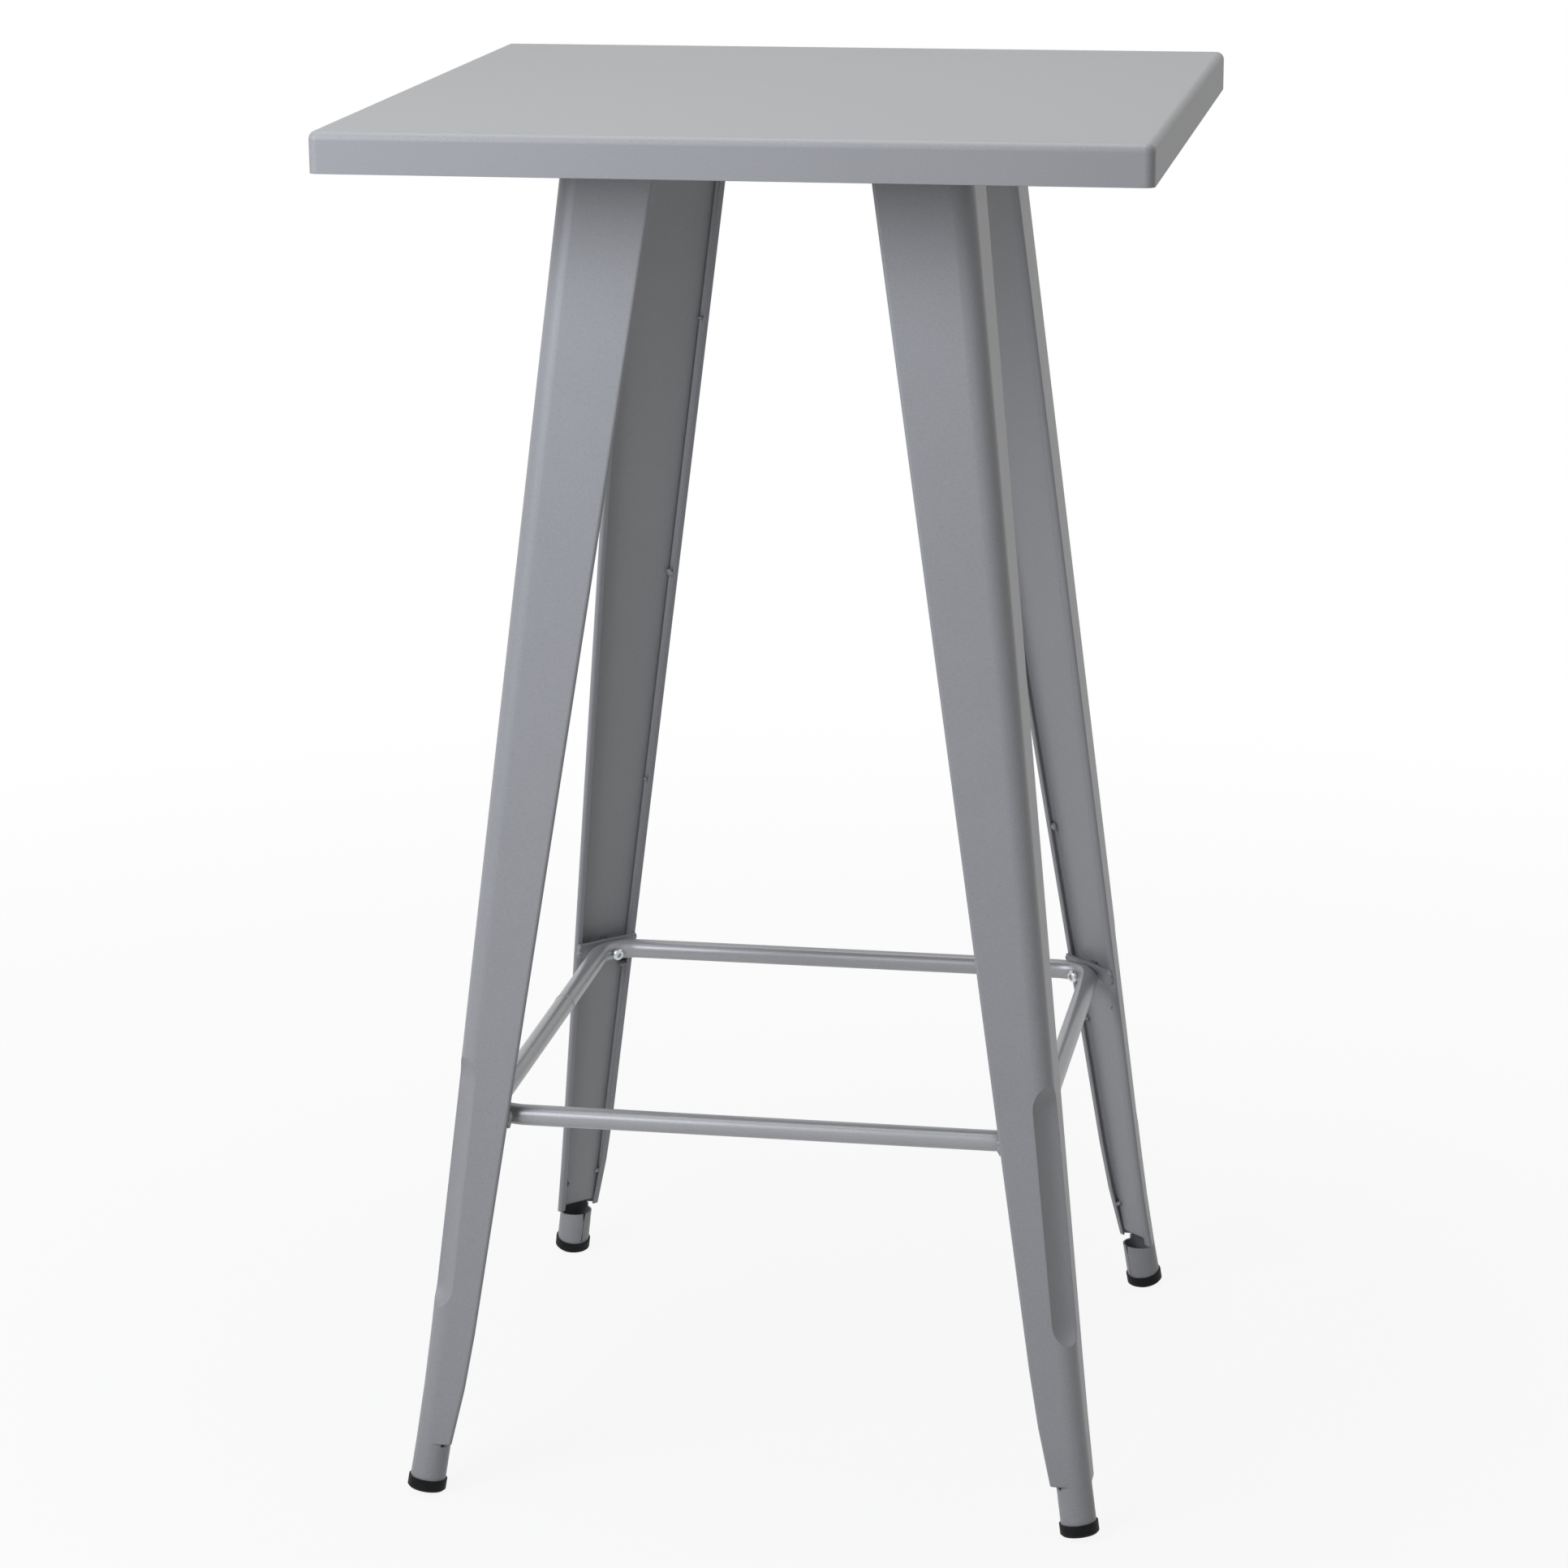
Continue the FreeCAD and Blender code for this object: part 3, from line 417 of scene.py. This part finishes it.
def makeRing():
    run = ringShape["half"] - ringShape["bend"]
    deselectAll()
    bpy.ops.mesh.primitive_circle_add(vertices=ringShape["sides"], radius=ringShape["radius"],
                                      rotation=(0, math.pi / 2, 0),
                                      location=(-run, -ringShape["half"], ringShape["level"]))
    ring = bpy.context.object
    bpy.ops.object.transform_apply(location=True, rotation=True, scale=True)
    bpy.ops.object.mode_set(mode="EDIT")
    bpy.ops.mesh.select_all(action="SELECT")
    for quarter in range(4):
        turn = Matrix.Rotation(math.pi / 2 * quarter, 3, "Z")
        along = turn @ Vector((2 * run / ringShape["lengths"], 0, 0))
        centre = turn @ Vector((run, -run, ringShape["level"]))
        for length in range(ringShape["lengths"]):
            bpy.ops.mesh.extrude_region_move(TRANSFORM_OT_translate={"value": along})
        bpy.ops.mesh.spin(steps=ringShape["steps"], angle=-math.pi / 2, center=centre, axis=(0, 0, 1))
    bpy.ops.mesh.select_all(action="SELECT")
    bpy.ops.mesh.remove_doubles(threshold=ringShape["weldGap"])
    bpy.ops.mesh.normals_make_consistent(inside=False)
    bpy.ops.mesh.select_all(action="DESELECT")
    reach = run * math.sqrt(2) + ringShape["bend"] - ringShape["radius"]
    for corner in corners:
        outward = legTurn(corner) @ Vector((1, 0, 0))
        spot = outward * reach + Vector((0, 0, ringShape["level"]))
        bpy.ops.object.mode_set(mode="OBJECT")
        nearest = min(ring.data.vertices, key=lambda vertex: (vertex.co - spot).length)
        nearest.select = True
        bpy.ops.object.mode_set(mode="EDIT")
        bpy.ops.transform.translate(value=outward * ringShape["press"], use_proportional_edit=True,
                                    proportional_edit_falloff="SMOOTH", proportional_size=ringShape["spread"])
        bpy.ops.mesh.select_all(action="DESELECT")
    smoothPiece(ring, ringShape["smooth"])
    ring.name = "footrestRing"
    finishPiece(ring, coats["tube"], "silver_coat_tube", "footrest_ring")
    print("ring", len(ring.data.polygons), "faces")


makeRing()

# welded joint where the tube's two ends meet on the left run, ground nearly flush
jointShape = {
    "along": 0.052, "width": 0.0042, "proud": 0.00035, "sunk": 0.0002, "crown": 1.01, "sides": 40,
    "lump": 0.0005, "ripple": 0.004, "smooth": 60,
}


def makeJoint():
    centre = (-ringShape["half"], jointShape["along"], ringShape["level"])
    swell = 1 + (jointShape["proud"] + jointShape["sunk"]) / ringShape["radius"]
    step = (0, jointShape["width"] / 4, 0)
    deselectAll()
    bpy.ops.mesh.primitive_circle_add(vertices=jointShape["sides"], rotation=(math.pi / 2, 0, 0),
                                      radius=ringShape["radius"] - jointShape["sunk"], location=centre)
    joint = bpy.context.object
    bpy.ops.object.transform_apply(location=True, rotation=True, scale=True)
    bpy.ops.object.mode_set(mode="EDIT")
    bpy.ops.mesh.select_all(action="SELECT")
    for grow in (swell, jointShape["crown"], 1 / jointShape["crown"], 1 / swell):
        bpy.ops.mesh.extrude_region_move(TRANSFORM_OT_translate={"value": step})
        bpy.ops.transform.resize(value=(grow, 1, grow), center_override=centre)
    bpy.ops.mesh.select_all(action="SELECT")
    bpy.ops.mesh.normals_make_consistent(inside=False)
    bpy.ops.object.mode_set(mode="OBJECT")
    ripple = bpy.data.textures.new("jointRipple", "CLOUDS")
    ripple.noise_scale = jointShape["ripple"]
    swellBead = joint.modifiers.new("ripple", "DISPLACE")
    swellBead.texture = ripple
    swellBead.texture_coords = "LOCAL"
    swellBead.strength = jointShape["lump"]
    applyModifiers(joint)
    smoothPiece(joint, jointShape["smooth"])
    joint.name = "ringJoint"
    finishPiece(joint, coats["tube"], "silver_coat_tube")
    print("ring joint done")


makeJoint()

# button-head bolts through the ring: domed head with a hexagon socket, plain shank behind
boltShape = {
    "radius": 0.00525, "height": 0.0033, "dome": 0.62, "flats": 0.0042, "socket": 0.0027, "headSides": 48,
    "shank": 0.003, "length": 0.0235, "chamfer": 0.15, "shankSides": 32,
    "level": 0.30004, "seat": 0.0184, "smooth": 35,
}


def makeBoltHead():
    deselectAll()
    bpy.ops.mesh.primitive_cylinder_add(vertices=boltShape["headSides"], radius=boltShape["radius"],
                                        depth=boltShape["height"], location=(0, 0, boltShape["height"] / 2))
    head = bpy.context.object
    bpy.ops.object.transform_apply(location=True, rotation=True, scale=True)
    bpy.ops.object.mode_set(mode="EDIT")
    bpy.ops.mesh.select_all(action="DESELECT")
    bpy.ops.object.mode_set(mode="OBJECT")
    for face in head.data.polygons:
        face.select = face.normal.z > 0.9
    bpy.ops.object.mode_set(mode="EDIT")
    bpy.ops.mesh.bevel(offset=boltShape["height"] * boltShape["dome"], segments=6, profile=0.5)
    bpy.ops.object.mode_set(mode="OBJECT")
    bpy.ops.mesh.primitive_cylinder_add(vertices=6, radius=boltShape["flats"] / math.sqrt(3),
                                        depth=boltShape["socket"] * 2, location=(0, 0, boltShape["height"]))
    socket = bpy.context.object
    drill = head.modifiers.new("socket", "BOOLEAN")
    drill.operation = "DIFFERENCE"
    drill.object = socket
    applyModifiers(head)
    removePiece(socket)
    return head


def makeShank():
    deselectAll()
    bpy.ops.mesh.primitive_cylinder_add(vertices=boltShape["shankSides"], radius=boltShape["shank"],
                                        depth=boltShape["length"], location=(0, 0, -boltShape["length"] / 2))
    shank = bpy.context.object
    bpy.ops.object.transform_apply(location=True, rotation=True, scale=True)
    bpy.ops.object.mode_set(mode="EDIT")
    bpy.ops.mesh.select_all(action="SELECT")
    bpy.ops.mesh.bevel(offset=boltShape["shank"] * boltShape["chamfer"], segments=2)
    bpy.ops.object.mode_set(mode="OBJECT")
    return shank


# a place that lies off the leg's lip plane toward the table's middle, with z pointing that way
def facePlace(corner, level, off, across):
    reach = alongLeg("faceFoot", "faceHead", level)
    lean = Matrix.Rotation(-math.pi / 2 - faceLean, 4, "Y")
    spot = Vector((reach - off * math.cos(faceLean), across, level - off * math.sin(faceLean)))
    return legTurn(corner) @ Matrix.Translation(spot) @ lean


def makeBolts():
    pattern = joinPieces([makeBoltHead(), makeShank()], "boltPattern")
    places = [facePlace(corner, boltShape["level"], boltShape["seat"], 0) for corner in corners]
    bolts = [copyTo(pattern, place, "bolt") for place in places]
    removePiece(pattern)
    bolts = joinPieces(bolts, "footrestBolts")
    smoothPiece(bolts, boltShape["smooth"])
    finishPiece(bolts, metals["zincPlate"], "zinc_fastener", "footrest_bolts")
    print("bolts done")


makeBolts()

# short tack welds that hold each inner plate to the leg's lips, at levels listed for each leg
tackShape = {
    "size": 0.0037, "squash": (0.85, 0.65, 1.15), "lump": 0.0018, "sink": 0.55, "inset": 0.0008,
    "tilt": [0.4, -0.5, 0.9, -0.2, 0.6], "turn": 3, "scale": [0.9, 1.05, 0.8, 1.0, 0.9], "weak": 0.7,
    "seed": 1, "smooth": 80,
}
tackLevels = {
    "back_right": {-1: [0.069, 0.268, 0.44, 0.64, 0.866], 1: [0.072, 0.247, 0.422, 0.634, 0.85]},
    "back_left": {-1: [0.075, 0.277, 0.449, 0.635, 0.854], 1: [0.067, 0.262, 0.43, 0.631, 0.86]},
    "front_left": {-1: [0.071, 0.255, 0.437, 0.642, 0.848], 1: [0.078, 0.271, 0.445, 0.628, 0.857]},
    "front_right": {-1: [0.074, 0.265, 0.428, 0.637, 0.861], 1: [0.068, 0.258, 0.451, 0.645, 0.852]},
}


# a weld lump: its texture is read some way off, so that each pattern has lumps of its own
blobGrain = {"fineness": 4, "scale": 0.9, "shift": 0.05}


def makeBlob(name, shape):
    shift = Vector((shape["seed"] * blobGrain["shift"], 0, 0))
    deselectAll()
    bpy.ops.mesh.primitive_ico_sphere_add(subdivisions=blobGrain["fineness"], radius=shape["size"])
    blob = bpy.context.object
    bpy.ops.object.mode_set(mode="EDIT")
    bpy.ops.mesh.select_all(action="SELECT")
    bpy.ops.transform.resize(value=shape["squash"])
    bpy.ops.object.mode_set(mode="OBJECT")
    grain = bpy.data.textures.new(name + "Lumps", "CLOUDS")
    grain.noise_scale = shape["size"] * blobGrain["scale"]
    swell = blob.modifiers.new("lumps", "DISPLACE")
    swell.texture = grain
    swell.texture_coords = "LOCAL"
    swell.strength = shape["lump"]
    blob.data.transform(Matrix.Translation(shift))
    applyModifiers(blob)
    blob.data.transform(Matrix.Translation(-shift))
    blob.name = name
    return blob


def tackPlace(corner, side, level, tilt, scale):
    curve = ankleCurve(level)
    reach = alongLeg("faceFoot", "faceHead", level) + legLines["ankleOut"] * curve
    reach += legLines["recess"] * tackShape["sink"]
    across = alongLeg("lipFoot", "lipHead", level) - legLines["ankleIn"] * curve - tackShape["inset"]
    size = scale if side * tilt > 0 else scale * tackShape["weak"]
    spot = legTurn(corner) @ Matrix.Translation((reach, side * across, level))
    return spot @ Matrix.Rotation(tilt * tackShape["turn"], 4, "X") @ Matrix.Scale(size, 4)


def makeTacks():
    pattern = makeBlob("tackPattern", tackShape)
    for corner in corners:
        tacks = []
        for side in (-1, 1):
            for level, tilt, scale in zip(tackLevels[corner][side], tackShape["tilt"], tackShape["scale"]):
                place = tackPlace(corner, side, level, tilt, scale)
                tacks.append(copyTo(pattern, place, "tack"))
        tacks = joinPieces(tacks, "tackWelds_" + corner)
        smoothPiece(tacks, tackShape["smooth"])
        finishPiece(tacks, coats["weld"], "silver_coat_leg")
    removePiece(pattern)
    print("tack welds done")


makeTacks()

# lumpy fillet welds at both ends of each footrest bracket
beadShape = {
    "size": 0.0019, "squash": (0.9, 1.0, 1.0), "lump": 0.0009, "count": 7, "half": 0.0275, "height": 0.0102,
    "off": 0.0012, "stagger": 0.0004, "turn": 1.3, "growth": 0.15, "seed": 7, "smooth": 80,
}


def beadPlace(corner, side, step):
    across = side * (beadShape["half"] + beadShape["stagger"] * (step % 2))
    rise = (step / (beadShape["count"] - 1) - 0.5) * beadShape["height"]
    spot = facePlace(corner, boltShape["level"], beadShape["off"], across) @ Matrix.Translation((rise, 0, 0))
    size = 1.0 + beadShape["growth"] * (step % 3)
    return spot @ Matrix.Rotation(step * beadShape["turn"] + side, 4, "Z") @ Matrix.Scale(size, 4)


def makeBeads():
    pattern = makeBlob("beadPattern", beadShape)
    for corner in corners:
        beads = []
        for side in (-1, 1):
            for step in range(beadShape["count"]):
                beads.append(copyTo(pattern, beadPlace(corner, side, step), "bead"))
        beads = joinPieces(beads, "bracketWelds_" + corner)
        smoothPiece(beads, beadShape["smooth"])
        finishPiece(beads, coats["weld"], "silver_coat_bracket")
    removePiece(pattern)
    print("bracket welds done")


makeBeads()

# floor and light
stageLook = {
    "size": 44, "drop": 0.0005, "color": (0.75, 0.75, 0.75, 1), "rough": 0.9, "white": (1, 1, 1, 1),
    "glow": 0.9, "near": 0.5, "far": 2.2, "ambient": 0.14,
}


# 1 for rays from the camera, off a glossy surface or through glass, which see white, and 0 for others
def seenRays(tree):
    rays = tree.nodes.new("ShaderNodeLightPath")
    mirrored = mathNode(tree, "MAXIMUM", rays.outputs["Is Glossy Ray"], rays.outputs["Is Transmission Ray"])
    return mathNode(tree, "MAXIMUM", rays.outputs["Is Camera Ray"], mirrored)


def makeFloor():
    deselectAll()
    bpy.ops.mesh.primitive_plane_add(size=stageLook["size"], location=(0, 0, -stageLook["drop"]))
    floor = bpy.context.object
    floor.name = "floor"
    material, tree, shader = newMaterial("paleFloor")
    shader.inputs["Base Color"].default_value = stageLook["color"]
    shader.inputs["Roughness"].default_value = stageLook["rough"]
    glow = tree.nodes.new("ShaderNodeEmission")
    glow.inputs["Color"].default_value = stageLook["white"]
    blend = tree.nodes.new("ShaderNodeMixShader")
    reach = tree.nodes.new("ShaderNodeVectorMath")
    reach.operation = "LENGTH"
    tree.links.new(tree.nodes.new("ShaderNodeTexCoord").outputs["Object"], reach.inputs[0])
    fade = mapRange(tree, reach.outputs["Value"], stageLook["near"], stageLook["far"], stageLook["glow"], 1)
    tree.links.new(mathNode(tree, "MULTIPLY", seenRays(tree), fade), blend.inputs["Fac"])
    tree.links.new(shader.outputs["BSDF"], blend.inputs[1])
    tree.links.new(glow.outputs["Emission"], blend.inputs[2])
    tree.links.new(blend.outputs["Shader"], tree.nodes["Material Output"].inputs["Surface"])
    floor.data.materials.append(material)


def makeWorld():
    world = bpy.data.worlds.new("studio")
    bpy.context.scene.world = world
    world.use_nodes = True
    sky = world.node_tree
    background = sky.nodes["Background"]
    strength = mapRange(sky, seenRays(sky), 0, 1, stageLook["ambient"], 1.0)
    sky.links.new(strength, background.inputs["Strength"])
    background.inputs["Color"].default_value = stageLook["white"]


makeFloor()
makeWorld()

lampSetup = {
    "overhead": {"at": (-0.2, 0.1, 3.3), "aim": (-0.1, 0, 1), "size": (2.2, 1.8),
                 "power": 36.5, "spread": 180, "tint": (1, 0.99, 0.97)},
    "left": {"at": (-1.25, -1.7, 1.65), "aim": (0, 0, 0.88), "size": (1.5, 1.1),
             "power": 16.6, "spread": 120, "tint": (0.88, 0.91, 1)},
}


def addLamp(name, setup):
    light = bpy.data.lights.new(name, "AREA")
    light.shape = "RECTANGLE"
    light.size, light.size_y = setup["size"]
    light.energy = setup["power"]
    light.color = setup["tint"]
    light.spread = math.radians(setup["spread"])
    lamp = bpy.data.objects.new(name, light)
    lamp.location = setup["at"]
    aim = Vector(setup["aim"]) - lamp.location
    lamp.rotation_euler = aim.to_track_quat("-Z", "Y").to_euler()
    lamp.visible_camera = False
    bpy.context.collection.objects.link(lamp)


for lampName, setup in lampSetup.items():
    addLamp(lampName, setup)

# camera at the photo's place, angles in degrees, focal length and frame in pixels of the photo
cameraSetup = {
    "at": (0.5704, -3.2396, 1.4349), "azimuth": 10.237, "elevation": 15.685, "roll": 0.416,
    "focal": 5301, "frame": 1932, "sensor": 36,
}


def makeCamera():
    lens = bpy.data.cameras.new("photoCamera")
    lens.sensor_width = cameraSetup["sensor"]
    lens.lens = cameraSetup["focal"] / cameraSetup["frame"] * lens.sensor_width
    camera = bpy.data.objects.new("photoCamera", lens)
    bpy.context.collection.objects.link(camera)
    turned = Matrix.Rotation(math.radians(cameraSetup["azimuth"]), 4, "Z")
    tipped = Matrix.Rotation(math.radians(90 - cameraSetup["elevation"]), 4, "X")
    rolled = Matrix.Rotation(math.radians(-cameraSetup["roll"]), 4, "Z")
    camera.matrix_world = Matrix.Translation(cameraSetup["at"]) @ turned @ tipped @ rolled
    bpy.context.scene.camera = camera


makeCamera()
print("floor, lamps and camera done")

bpy.context.scene.view_settings.view_transform = "Standard"

deselectAll()
